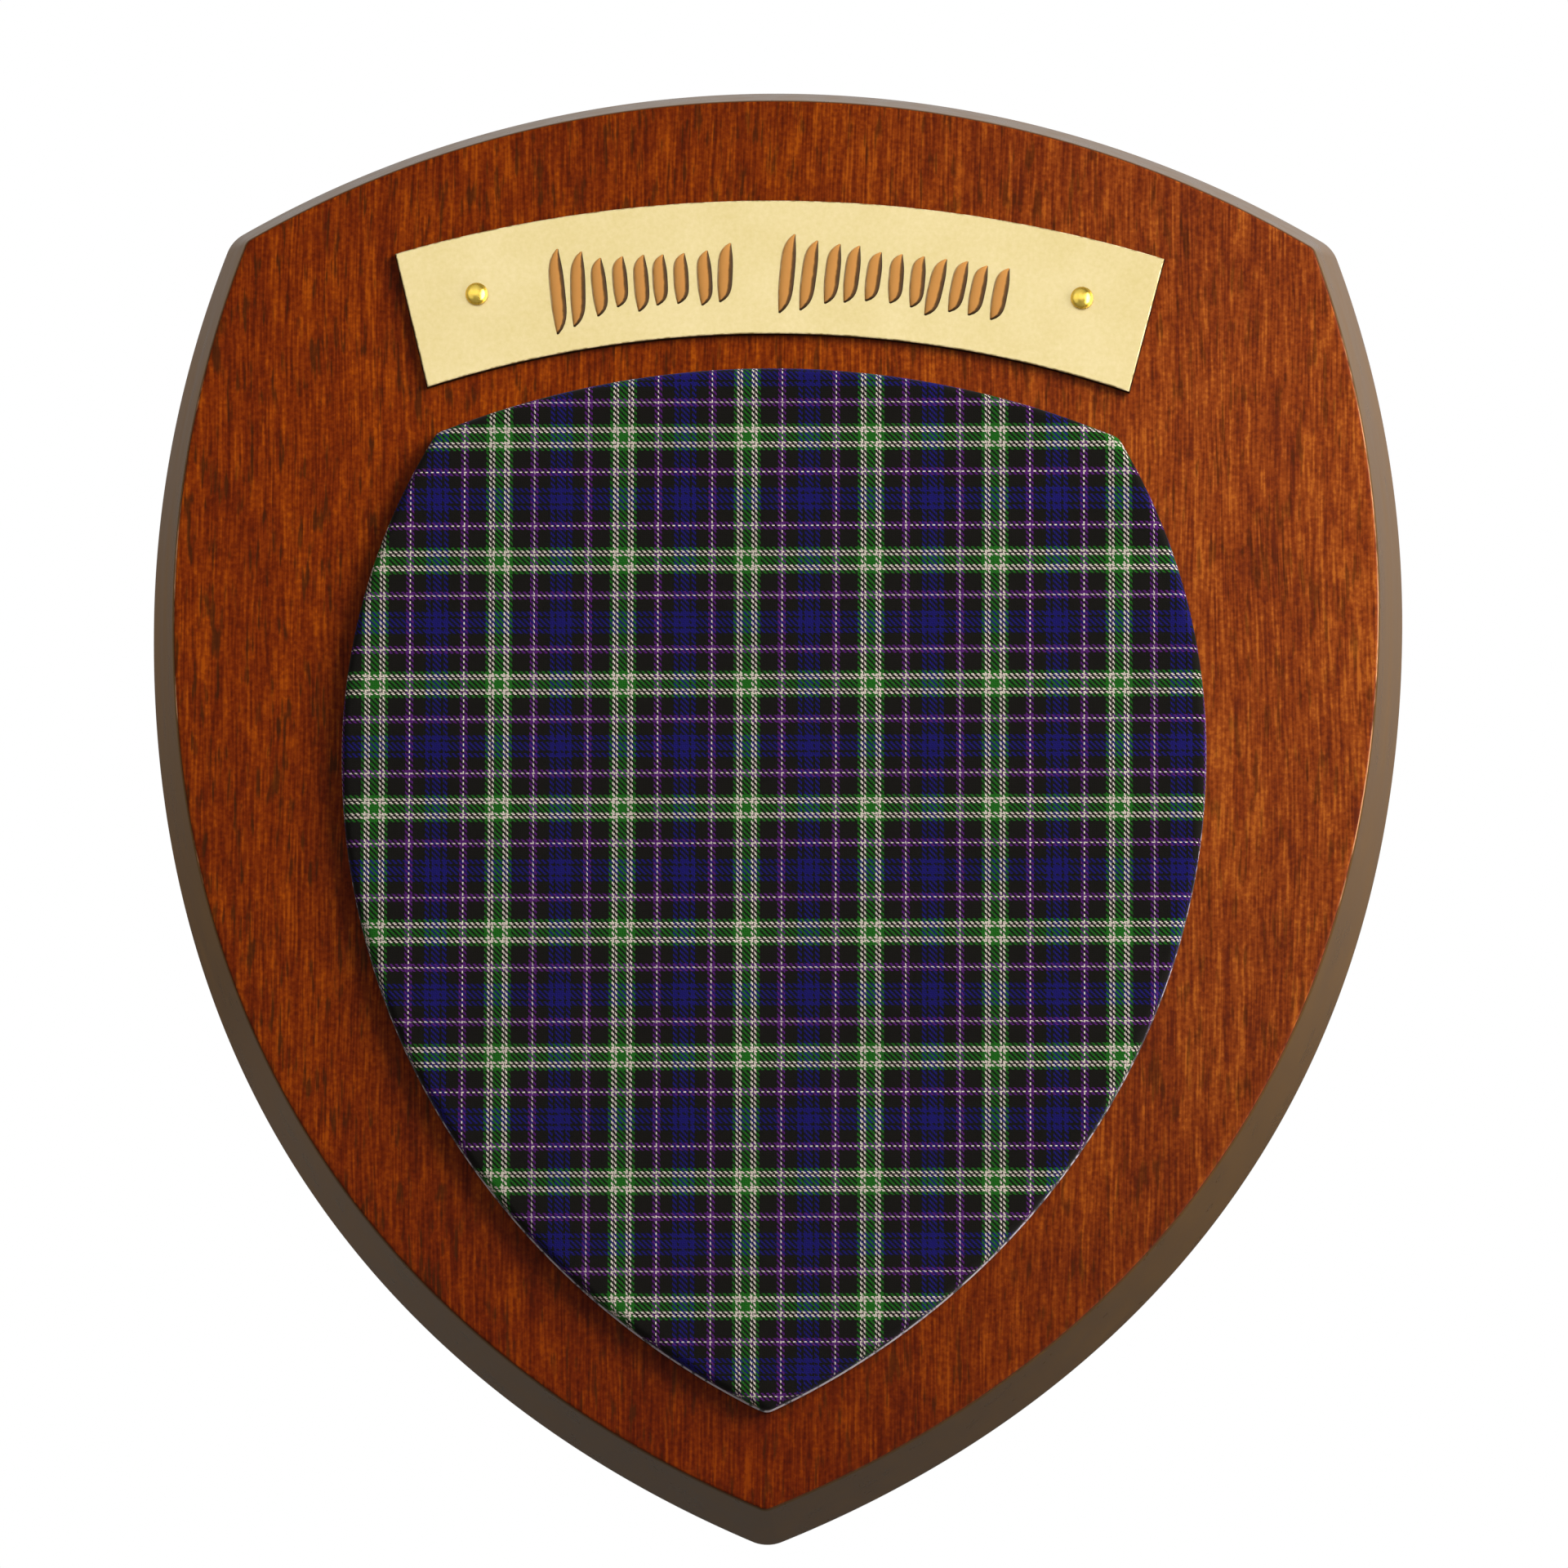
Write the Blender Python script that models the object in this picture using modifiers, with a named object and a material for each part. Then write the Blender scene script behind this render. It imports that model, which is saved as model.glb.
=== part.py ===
"""Wooden wall plaque.

A shield-shaped wooden backboard with a tapered edge, a smaller raised shield covered in tartan, and an
arched brass name plate held by two dome-headed pins. The front faces -Y, the back lies on y = 0, +Z is up
and +X is to the right seen from the front. The origin is where the hanging screw sits in the keyhole.
"""
import math

import bmesh
import bpy
from mathutils import Vector

MM = 0.001

# Where the parts sit. Drops are measured down from the top of the backboard.
BOARD_TOP_Z = 60.0 * MM
PART_GAP = 0.3 * MM

# Backboard. The outline is the back one, and the front one is EDGE_RUN smaller all round.
BOARD_DEPTH = 15.0 * MM
BOARD_LAND = 0.8 * MM
EDGE_RUN = 4.2 * MM
BOARD_ARRIS = 0.5 * MM
BOARD_HALF_WIDTH = 108.0 * MM
BOARD_CROWN_RADIUS = 183.8 * MM
BOARD_SIDE_RADIUS = 186.8 * MM
BOARD_WIDEST_DROP = 93.8 * MM
BOARD_TIP_DROP = 254.0 * MM
BOARD_TIP_RADIUS = 6.5 * MM
BOARD_TIP_ANGLE = math.radians(67.4)
BOARD_SIDE_HANDLE = 92.0 * MM
BOARD_TIP_HANDLE = 55.0 * MM
BOARD_SHOULDER_RADIUS = 6.2 * MM

# Tartan panel.
PANEL_TOP_DROP = 51.8 * MM
PANEL_DEPTH = 3.0 * MM
PANEL_ROUND = 1.4 * MM
PANEL_HALF_WIDTH = 74.3 * MM
PANEL_CROWN_RADIUS = 152.3 * MM
PANEL_SIDE_RADIUS = 107.1 * MM
PANEL_WIDEST_DROP = 67.3 * MM
PANEL_TIP_DROP = 181.0 * MM
PANEL_TIP_RADIUS = 2.6 * MM
PANEL_TIP_ANGLE = math.radians(64.2)
PANEL_SIDE_HANDLE = 49.9 * MM
PANEL_TIP_HANDLE = 47.5 * MM
PANEL_SHOULDER_RADIUS = 2.6 * MM

# Name plate: an upper and a lower arc, joined by straight ends that lean in downwards.
PLATE_DEPTH = 1.0 * MM
PLATE_TOP_DROP = 22.1 * MM
PLATE_HEIGHT = 23.4 * MM
PLATE_UPPER_RADIUS = 229.2 * MM
PLATE_LOWER_RADIUS = 191.5 * MM
PLATE_UPPER_HALF_WIDTH = 66.4 * MM
PLATE_LOWER_HALF_WIDTH = 60.5 * MM

# Brass pins, one at each end of the plate.
PIN_SIDE = 52.25 * MM
PIN_DROP = 39.0 * MM
PIN_HEAD_RADIUS = 1.95 * MM
PIN_HEAD_HEIGHT = 1.6 * MM
PIN_HEAD_RIM = 0.2 * MM
PIN_SHANK_RADIUS = 0.6 * MM
PIN_SHANK_IN_BOARD = 7.0 * MM
PIN_POINT = 1.2 * MM

# Keyhole slot in the back. The screw enters low and slides up to the origin.
KEYHOLE_ENTRY_RADIUS = 5.0 * MM
KEYHOLE_NECK_RADIUS = 2.5 * MM
KEYHOLE_UNDERCUT_RADIUS = 5.0 * MM
KEYHOLE_LIP = 3.5 * MM
KEYHOLE_DEPTH = 8.5 * MM
KEYHOLE_TRAVEL = 13.0 * MM

SEGMENT = 4.0 * MM
CORNER_SEGMENT = 1.2 * MM
TURNED_STEPS = 24
DOME_STEPS = 6
HOLE_STEPS = 24
MERGE_WITHIN = 0.01 * MM

BOARD_FRONT_Y = -BOARD_DEPTH
ONTO_BOARD_Y = BOARD_FRONT_Y - PART_GAP
PLATE_FRONT_Y = ONTO_BOARD_Y - PLATE_DEPTH

for old in list(bpy.data.objects):
    bpy.data.objects.remove(old, do_unlink=True)

parts = bpy.data.collections.new("wooden_wall_plaque")
cutters = bpy.data.collections.new("cutters")
bpy.context.scene.collection.children.link(parts)
bpy.context.scene.collection.children.link(cutters)
plaque = bpy.data.objects.new("plaque", None)
parts.objects.link(plaque)


def make_material(name, colour, metallic, roughness):
    material = bpy.data.materials.new(name)
    material.use_nodes = True
    shader = material.node_tree.nodes["Principled BSDF"]
    shader.inputs["Base Color"].default_value = (*colour, 1.0)
    shader.inputs["Metallic"].default_value = metallic
    shader.inputs["Roughness"].default_value = roughness
    return material


wood = make_material("wood", (0.26, 0.045, 0.008), 0.0, 0.35)
tartan = make_material("tartan_cloth", (0.03, 0.03, 0.07), 0.0, 0.9)
brass = make_material("satin_brass", (0.85, 0.70, 0.32), 1.0, 0.35)
polished_brass = make_material("polished_brass", (0.80, 0.55, 0.12), 1.0, 0.15)


def arc(centre, radius, start, end, step):
    """Points along an arc, both ends included. Angles run from +X towards the drop axis."""
    count = max(2, math.ceil(abs(end - start) * radius / step))
    angles = [start + (end - start) * k / count for k in range(count + 1)]
    return [centre + radius * Vector((math.cos(a), math.sin(a))) for a in angles]


def bezier(start, start_handle, end_handle, end, count):
    points = []
    for k in range(1, count):
        u = k / count
        v = 1.0 - u
        points.append(v ** 3 * start + 3 * v * v * u * start_handle + 3 * v * u * u * end_handle + u ** 3 * end)
    return points


def angle_of(point, centre):
    return math.atan2(point.y - centre.y, point.x - centre.x)


def shield(half_width, crown_radius, side_radius, widest_drop, tip_drop, tip_radius, tip_angle,
           side_handle, tip_handle, shoulder_radius):
    """Closed shield outline as (x, drop) points, from the top round the right side and back."""
    crown_centre = Vector((0.0, crown_radius))
    side_centre = Vector((half_width - side_radius, widest_drop))
    # The shoulder touches both arcs from the inside, so its centre is at two known distances.
    reach_crown = crown_radius - shoulder_radius
    reach_side = side_radius - shoulder_radius
    between = side_centre - crown_centre
    along = (reach_crown ** 2 - reach_side ** 2 + between.length_squared) / (2.0 * between.length)
    across = math.sqrt(reach_crown ** 2 - along ** 2)
    forward = between.normalized()
    sideways = Vector((-forward.y, forward.x))
    shoulder_centre = max((crown_centre + along * forward + sign * across * sideways for sign in (-1, 1)),
                          key=lambda point: point.x)
    crown_end = angle_of(shoulder_centre, crown_centre)
    side_start = angle_of(shoulder_centre, side_centre)
    # The tip is a small arc that both lower sides run into.
    tip_centre = Vector((0.0, tip_drop - tip_radius))
    tip_point = tip_centre + tip_radius * Vector((math.cos(tip_angle), math.sin(tip_angle)))
    widest = Vector((half_width, widest_drop))
    lower_count = math.ceil((tip_point - widest).length * 1.1 / SEGMENT)
    right = arc(crown_centre, crown_radius, -math.pi / 2.0, crown_end, SEGMENT)
    right += arc(shoulder_centre, shoulder_radius, crown_end, side_start, CORNER_SEGMENT)[1:]
    right += arc(side_centre, side_radius, side_start, 0.0, SEGMENT)[1:]
    right += bezier(widest, widest + Vector((0.0, side_handle)),
                    tip_point + tip_handle * Vector((math.sin(tip_angle), -math.cos(tip_angle))),
                    tip_point, lower_count)
    right += arc(tip_centre, tip_radius, tip_angle, math.pi / 2.0, CORNER_SEGMENT)
    left = [Vector((-point.x, point.y)) for point in reversed(right[1:-1])]
    return right + left


def add_solid(bm, name, collection, material=None):
    """A new object in the collection, at the origin, with the mesh built so far."""
    mesh = bpy.data.meshes.new(name)
    bm.to_mesh(mesh)
    bm.free()
    obj = bpy.data.objects.new(name, mesh)
    collection.objects.link(obj)
    if material:
        mesh.materials.append(material)
    if collection == cutters:
        obj.hide_render = True
        obj.display_type = "WIRE"
    else:
        obj.parent = plaque
    return obj


def slab(name, outline, depth, collection, material=None):
    """Straight-sided solid. Its outline stands in the XZ plane through its origin and it grows towards -Y."""
    bm = bmesh.new()
    back = bm.faces.new([bm.verts.new((point.x, 0.0, -point.y)) for point in outline])
    grown = bmesh.ops.extrude_face_region(bm, geom=[back], use_keep_orig=True)
    front_verts = [item for item in grown["geom"] if isinstance(item, bmesh.types.BMVert)]
    bmesh.ops.translate(bm, verts=front_verts, vec=(0.0, -depth, 0.0))
    bmesh.ops.recalc_face_normals(bm, faces=bm.faces)
    return add_solid(bm, name, collection, material)


def front_face(bm):
    return min(bm.faces, key=lambda face: face.calc_center_median().y)


def taper(obj, run, depth):
    """Grows the front face further towards -Y while it shrinks by the run all round."""
    bm = bmesh.new()
    bm.from_mesh(obj.data)
    bmesh.ops.inset_region(bm, faces=[front_face(bm)], thickness=run, depth=depth, use_even_offset=True)
    bm.to_mesh(obj.data)
    bm.free()


def round_front(obj, radius, segments):
    """Bevels the edges of the front face and no others."""
    bm = bmesh.new()
    bm.from_mesh(obj.data)
    weight = bm.edges.layers.float.new("bevel_weight_edge")
    for edge in front_face(bm).edges:
        edge[weight] = 1.0
    bm.to_mesh(obj.data)
    bm.free()
    bevel = obj.modifiers.new("round front", "BEVEL")
    bevel.limit_method = "WEIGHT"
    bevel.width = radius
    bevel.segments = segments
    bevel.use_clamp_overlap = False
    bevel.loop_slide = False


def turned(name, profile, material):
    """Solid turned about its own Y axis. The profile holds (radius, y) points, from axis to axis."""
    bm = bmesh.new()
    line = [bm.verts.new((radius, y, 0.0)) for radius, y in profile]
    for pair in zip(line, line[1:]):
        bm.edges.new(pair)
    obj = add_solid(bm, name, parts, material)
    screw = obj.modifiers.new("turn", "SCREW")
    screw.axis = "Y"
    screw.steps = TURNED_STEPS
    screw.render_steps = TURNED_STEPS
    screw.use_merge_vertices = True
    screw.merge_threshold = MERGE_WITHIN
    screw.use_normal_calculate = True
    return obj


def cut(obj, cutter):
    boolean = obj.modifiers.new(f"cut {cutter.name}", "BOOLEAN")
    boolean.operation = "DIFFERENCE"
    boolean.solver = "EXACT"
    boolean.object = cutter


def hole(name, centre, radius, back_y, front_y):
    """Round cutter along Y between two depths."""
    bm = bmesh.new()
    bmesh.ops.create_cone(bm, cap_ends=True, segments=HOLE_STEPS, radius1=radius, radius2=radius,
                          depth=back_y - front_y)
    obj = add_solid(bm, name, cutters)
    obj.location = (centre.x, (back_y + front_y) / 2.0, centre.z)
    obj.rotation_euler.x = math.pi / 2.0
    return obj


def slot(name, radius, travel, back_y, front_y):
    """Cutter for a straight slot with round ends, from the origin down by its travel."""
    outline = arc(Vector((0.0, 0.0)), radius, math.pi, 2.0 * math.pi, CORNER_SEGMENT / 2.0)
    outline += arc(Vector((0.0, travel)), radius, 0.0, math.pi, CORNER_SEGMENT / 2.0)
    obj = slab(name, outline, back_y - front_y, cutters)
    obj.location.y = back_y
    return obj


# Backboard: a thin straight land at the back, then the long taper to the front face.
board_outline = shield(BOARD_HALF_WIDTH, BOARD_CROWN_RADIUS, BOARD_SIDE_RADIUS, BOARD_WIDEST_DROP,
                       BOARD_TIP_DROP, BOARD_TIP_RADIUS, BOARD_TIP_ANGLE, BOARD_SIDE_HANDLE,
                       BOARD_TIP_HANDLE, BOARD_SHOULDER_RADIUS)
board = slab("backboard", board_outline, BOARD_LAND, parts, wood)
board.location.z = BOARD_TOP_Z
taper(board, EDGE_RUN, BOARD_DEPTH - BOARD_LAND)
round_front(board, BOARD_ARRIS, 2)

pin_centres = {}
for side, sign in (("left", -1), ("right", 1)):
    pin_centres[side] = Vector((sign * PIN_SIDE, 0.0, BOARD_TOP_Z - PIN_DROP))

outside = PART_GAP
shank_end_y = BOARD_FRONT_Y + PIN_SHANK_IN_BOARD
shank_hole_radius = PIN_SHANK_RADIUS + PART_GAP
cut(board, hole("keyhole_entry", Vector((0.0, 0.0, -KEYHOLE_TRAVEL)), KEYHOLE_ENTRY_RADIUS, outside,
                -KEYHOLE_DEPTH))
cut(board, slot("keyhole_neck", KEYHOLE_NECK_RADIUS, KEYHOLE_TRAVEL, outside, -KEYHOLE_LIP - PART_GAP))
cut(board, slot("keyhole_undercut", KEYHOLE_UNDERCUT_RADIUS, KEYHOLE_TRAVEL, -KEYHOLE_LIP, -KEYHOLE_DEPTH))
for side, centre in pin_centres.items():
    cut(board, hole(f"board_hole_{side}", centre, shank_hole_radius, shank_end_y + PART_GAP,
                    BOARD_FRONT_Y - outside))

# Tartan panel, with a rounded front edge.
panel_outline = shield(PANEL_HALF_WIDTH, PANEL_CROWN_RADIUS, PANEL_SIDE_RADIUS, PANEL_WIDEST_DROP,
                       PANEL_TIP_DROP, PANEL_TIP_RADIUS, PANEL_TIP_ANGLE, PANEL_SIDE_HANDLE,
                       PANEL_TIP_HANDLE, PANEL_SHOULDER_RADIUS)
panel = slab("tartan_panel", panel_outline, PANEL_DEPTH, parts, tartan)
panel.location = (0.0, ONTO_BOARD_Y, BOARD_TOP_Z - PANEL_TOP_DROP)
round_front(panel, PANEL_ROUND, 3)

# Name plate, drilled for the pins.
upright = -math.pi / 2.0
upper_centre = Vector((0.0, PLATE_UPPER_RADIUS))
upper_turn = math.asin(PLATE_UPPER_HALF_WIDTH / PLATE_UPPER_RADIUS)
lower_centre = Vector((0.0, PLATE_HEIGHT + PLATE_LOWER_RADIUS))
lower_turn = math.asin(PLATE_LOWER_HALF_WIDTH / PLATE_LOWER_RADIUS)
plate_outline = arc(upper_centre, PLATE_UPPER_RADIUS, upright - upper_turn, upright + upper_turn, SEGMENT)
plate_outline += arc(lower_centre, PLATE_LOWER_RADIUS, upright + lower_turn, upright - lower_turn, SEGMENT)
plate = slab("name_plate", plate_outline, PLATE_DEPTH, parts, brass)
plate.location = (0.0, ONTO_BOARD_Y, BOARD_TOP_Z - PLATE_TOP_DROP)
for side, centre in pin_centres.items():
    cut(plate, hole(f"plate_hole_{side}", centre, shank_hole_radius, ONTO_BOARD_Y + outside,
                    PLATE_FRONT_Y - outside))

# Brass pins: pointed shank, flat underside, high dome.
head_back_y = PLATE_FRONT_Y - PART_GAP
pin_profile = [(0.0, shank_end_y), (PIN_SHANK_RADIUS, shank_end_y - PIN_POINT),
               (PIN_SHANK_RADIUS, head_back_y), (PIN_HEAD_RADIUS, head_back_y)]
for k in range(DOME_STEPS):
    turn = math.pi / 2.0 * k / DOME_STEPS
    rise = PIN_HEAD_RIM + (PIN_HEAD_HEIGHT - PIN_HEAD_RIM) * math.sin(turn)
    pin_profile.append((PIN_HEAD_RADIUS * math.cos(turn), head_back_y - rise))
pin_profile.append((0.0, head_back_y - PIN_HEAD_HEIGHT))
for side, centre in pin_centres.items():
    pin = turned(f"{side}_pin", pin_profile, polished_brass)
    pin.location = centre
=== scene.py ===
import math

import bmesh
import bpy
from mathutils import Matrix, Vector


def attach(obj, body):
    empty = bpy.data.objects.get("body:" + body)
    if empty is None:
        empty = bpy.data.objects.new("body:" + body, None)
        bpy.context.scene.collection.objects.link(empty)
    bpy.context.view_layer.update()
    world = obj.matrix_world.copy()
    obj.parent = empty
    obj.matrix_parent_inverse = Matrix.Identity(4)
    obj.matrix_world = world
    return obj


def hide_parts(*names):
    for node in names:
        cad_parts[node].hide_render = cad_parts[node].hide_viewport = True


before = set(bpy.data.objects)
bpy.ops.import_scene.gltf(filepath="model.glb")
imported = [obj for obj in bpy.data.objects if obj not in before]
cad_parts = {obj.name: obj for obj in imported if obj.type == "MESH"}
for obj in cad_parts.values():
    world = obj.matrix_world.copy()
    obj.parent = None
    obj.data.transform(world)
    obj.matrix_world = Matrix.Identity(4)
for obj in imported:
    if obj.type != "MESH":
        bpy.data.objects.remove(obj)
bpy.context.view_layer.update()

MM = 0.001
BODY = "root"

# Backboard.
# A shield sawn from 15 mm board, faced with straight-grained red mahogany veneer and sanded to a satin
# finish. Its long tapered edge is lacquered dark brown, and the plain back has a routed keyhole slot.
BOARD_TOP_Z = 60.0
BOARD_DEPTH = 15.0
BOARD_LAND = 0.8
EDGE_RUN = 4.2
BACK_ARRIS = 0.3
FRONT_ARRIS = 0.5
BACK_FLAT = 2.0
# The worn front arris, as steps in from the taper's end and back from the front face.
FRONT_EASING = [(0.04, 0.22), (0.2, 0.06), (0.45, 0.0), (1.2, 0.0)]
TAPER_MARGIN = 0.02
BOARD_SMOOTH_ANGLE = 40.0
BOARD_SHAPE = dict(half_width=108.0, crown_radius=183.8, side_radius=186.8, widest_drop=93.8,
                   tip_drop=254.0, tip_radius=6.5, tip_angle=math.radians(67.4), side_handle=92.0,
                   tip_handle=55.0, shoulder_radius=6.2)
KEYHOLE_ENTRY_RADIUS = 5.0
KEYHOLE_NECK_RADIUS = 2.5
KEYHOLE_LIP = 3.5
KEYHOLE_DEPTH = 8.5
KEYHOLE_TRAVEL = 13.0
KEYHOLE_OVERLAP = 0.3
KEYHOLE_STEP = 0.3
PIN_HOLE_RADIUS = 0.9
PIN_HOLE_STEPS = 24
PIN_HOLE_END_Y = -7.7
CUT_PAST = 1.0


def arc(centre, radius, start, end, step):
    """Points along an arc, both ends included. Angles run from +X towards +Y of the flat outline."""
    count = max(2, math.ceil(abs(end - start) * radius / step))
    angles = [start + (end - start) * k / count for k in range(count + 1)]
    return [centre + radius * Vector((math.cos(a), math.sin(a))) for a in angles]


def bezier(start, start_handle, end_handle, end, count):
    points = []
    for k in range(1, count):
        u = k / count
        v = 1.0 - u
        points.append(v ** 3 * start + 3 * v * v * u * start_handle + 3 * v * u * u * end_handle
                      + u ** 3 * end)
    return points


def angle_of(point, centre):
    return math.atan2(point.y - centre.y, point.x - centre.x)


def shield(top_z, half_width, crown_radius, side_radius, widest_drop, tip_drop, tip_radius, tip_angle,
           side_handle, tip_handle, shoulder_radius, step=1.5, corner_step=0.4):
    """Closed shield outline as (x, z) points in mm: crown, shoulders, sides and a small round tip."""
    crown_centre = Vector((0.0, crown_radius))
    side_centre = Vector((half_width - side_radius, widest_drop))
    # The shoulder touches both arcs from the inside, so its centre is at two known distances.
    reach_crown = crown_radius - shoulder_radius
    reach_side = side_radius - shoulder_radius
    between = side_centre - crown_centre
    along = (reach_crown ** 2 - reach_side ** 2 + between.length_squared) / (2.0 * between.length)
    across = math.sqrt(reach_crown ** 2 - along ** 2)
    forward = between.normalized()
    sideways = Vector((-forward.y, forward.x))
    shoulder_centre = max((crown_centre + along * forward + sign * across * sideways for sign in (-1, 1)),
                          key=lambda point: point.x)
    crown_end = angle_of(shoulder_centre, crown_centre)
    side_start = angle_of(shoulder_centre, side_centre)
    tip_centre = Vector((0.0, tip_drop - tip_radius))
    tip_point = tip_centre + tip_radius * Vector((math.cos(tip_angle), math.sin(tip_angle)))
    widest = Vector((half_width, widest_drop))
    lower_count = math.ceil((tip_point - widest).length / step)
    right = arc(crown_centre, crown_radius, -math.pi / 2.0, crown_end, step)
    right += arc(shoulder_centre, shoulder_radius, crown_end, side_start, corner_step)[1:]
    right += arc(side_centre, side_radius, side_start, 0.0, step)[1:]
    right += bezier(widest, widest + Vector((0.0, side_handle)),
                    tip_point + tip_handle * Vector((math.sin(tip_angle), -math.cos(tip_angle))),
                    tip_point, lower_count)
    right += arc(tip_centre, tip_radius, tip_angle, math.pi / 2.0, corner_step)
    left = [Vector((-point.x, point.y)) for point in reversed(right[1:-1])]
    return [Vector((point.x, top_z - point.y)) for point in right + left]


def outward(outline):
    """The way out at each point of an outline that runs clockwise, long enough to mitre its corners."""
    ways = []
    for before, here, after in zip(outline[-1:] + outline[:-1], outline, outline[1:] + outline[:1]):
        first = (here - before).normalized()
        second = (after - here).normalized()
        first = Vector((-first.y, first.x))
        second = Vector((-second.y, second.x))
        ways.append((first + second) / (1.0 + first.dot(second)))
    return ways


def solid(name, outline, profile, materials, slot_of_band, weave=False):
    """Closed solid in mm: the outline at each (inset, y) of the profile, from back to front, then capped.

    slot_of_band gives the material of the back cap, of each band between two rings, and of the front cap.
    With weave, a UV map in metres says where each point lies on the cloth while that is still flat.
    """
    ways = outward(outline)
    count = len(outline)
    verts = []
    for inset, y in profile:
        for point, way in zip(outline, ways):
            place = point - inset * way
            verts.append((place.x * MM, y * MM, place.y * MM))
    faces = [tuple(range(count))]
    bands = [0]
    for ring in range(len(profile) - 1):
        for k in range(count):
            low, high = ring * count, (ring + 1) * count
            after = (k + 1) % count
            faces.append((low + k, high + k, high + after, low + after))
            bands.append(ring + 1)
    last = (len(profile) - 1) * count
    faces.append(tuple(last + k for k in reversed(range(count))))
    bands.append(len(profile))
    mesh = bpy.data.meshes.new(name)
    mesh.from_pydata(verts, [], faces)
    for material in materials:
        mesh.materials.append(material)
    for face, band in zip(mesh.polygons, bands):
        face.material_index = slot_of_band[band]
    if weave:
        reach = [profile[-1][0]]
        for (inset, y), (next_inset, next_y) in zip(profile[-2::-1], profile[:0:-1]):
            reach.insert(0, reach[0] - math.hypot(inset - next_inset, y - next_y))
        layer = mesh.uv_layers.new(name="weave")
        for loop in mesh.loops:
            ring, k = divmod(loop.vertex_index, count)
            layer.data[loop.index].uv = (outline[k] - reach[ring] * ways[k]) * MM
    check = bmesh.new()
    check.from_mesh(mesh)
    bmesh.ops.recalc_face_normals(check, faces=check.faces)
    check.to_mesh(mesh)
    check.free()
    obj = bpy.data.objects.new(name, mesh)
    bpy.context.scene.collection.objects.link(obj)
    return obj


def cut_and_smooth(obj, cutters, degrees):
    """Takes the cutters out of a solid for good, then shades it smooth up to the given angle."""
    for cutter in cutters:
        modifier = obj.modifiers.new("cut", "BOOLEAN")
        modifier.operation = "DIFFERENCE"
        modifier.solver = "EXACT"
        modifier.object = cutter
    bpy.context.view_layer.update()
    mesh = bpy.data.meshes.new_from_object(obj.evaluated_get(bpy.context.evaluated_depsgraph_get()))
    obj.modifiers.clear()
    obj.data = mesh
    mesh.name = obj.name
    mesh.shade_smooth()
    mesh.set_sharp_from_angle(angle=math.radians(degrees))
    for cutter in cutters:
        bpy.data.objects.remove(cutter, do_unlink=True)


def rounded(inset, y, inset_way, y_way, radius, steps):
    """Quarter round in a profile, from inset_way towards y_way, about the corner it takes off."""
    points = []
    for k in range(steps + 1):
        turn = math.pi / 2.0 * k / steps
        points.append((inset + inset_way * radius * (1.0 - math.sin(turn)),
                       y + y_way * radius * (1.0 - math.cos(turn))))
    return points


def linear(colour):
    """An sRGB hex colour as the linear one that a shader takes."""
    channels = [int(colour[k:k + 2], 16) / 255.0 for k in (1, 3, 5)]
    return tuple(c / 12.92 if c <= 0.04045 else ((c + 0.055) / 1.055) ** 2.4 for c in channels) + (1.0,)


def add(tree, kind, feeds=None, stops=None, **settings):
    """Adds a node. feeds gives its inputs, each a value, a socket or a node whose first output feeds it."""
    made = tree.nodes.new(kind)
    for name, value in settings.items():
        setattr(made, name, value)
    for key, value in (feeds or {}).items():
        if isinstance(value, bpy.types.Node):
            value = value.outputs[0]
        if isinstance(value, bpy.types.NodeSocket):
            tree.links.new(value, made.inputs[key])
        else:
            made.inputs[key].default_value = value
    if stops:
        elements = made.color_ramp.elements
        while len(elements) < len(stops):
            elements.new(1.0)
        for element, (place, colour) in zip(elements, stops):
            element.position = place
            element.color = colour
    return made


def start_material(name):
    material = bpy.data.materials.new(name)
    material.use_nodes = True
    tree = material.node_tree
    return material, tree, tree.nodes["Principled BSDF"]


def in_mm(tree, output="Object"):
    """The piece's own coordinates, counted in millimetres."""
    place = add(tree, "ShaderNodeTexCoord")
    return add(tree, "ShaderNodeVectorMath", {0: place.outputs[output], "Scale": 1000.0},
               operation="SCALE").outputs[0]


def grain(tree, place, width, length, detail=2.0, roughness=0.5):
    """Noise drawn out along Z into streaks of about that width and length in mm."""
    drawn = add(tree, "ShaderNodeMapping", {
        "Vector": place, "Scale": (1.0 / width, 1.0 / width, 1.0 / length)})
    return add(tree, "ShaderNodeTexNoise", {"Vector": drawn.outputs[0], "Scale": 1.0, "Detail": detail,
                                            "Roughness": roughness}).outputs["Fac"]


def blend_of(tree, parts):
    """Weighted sum of noises about their common middle of 0.5."""
    total = 0.5 - sum(0.5 * weight for noise, weight in parts)
    for noise, weight in parts:
        total = add(tree, "ShaderNodeMath", {0: noise, 1: weight, 2: total},
                    operation="MULTIPLY_ADD").outputs[0]
    return total


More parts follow.
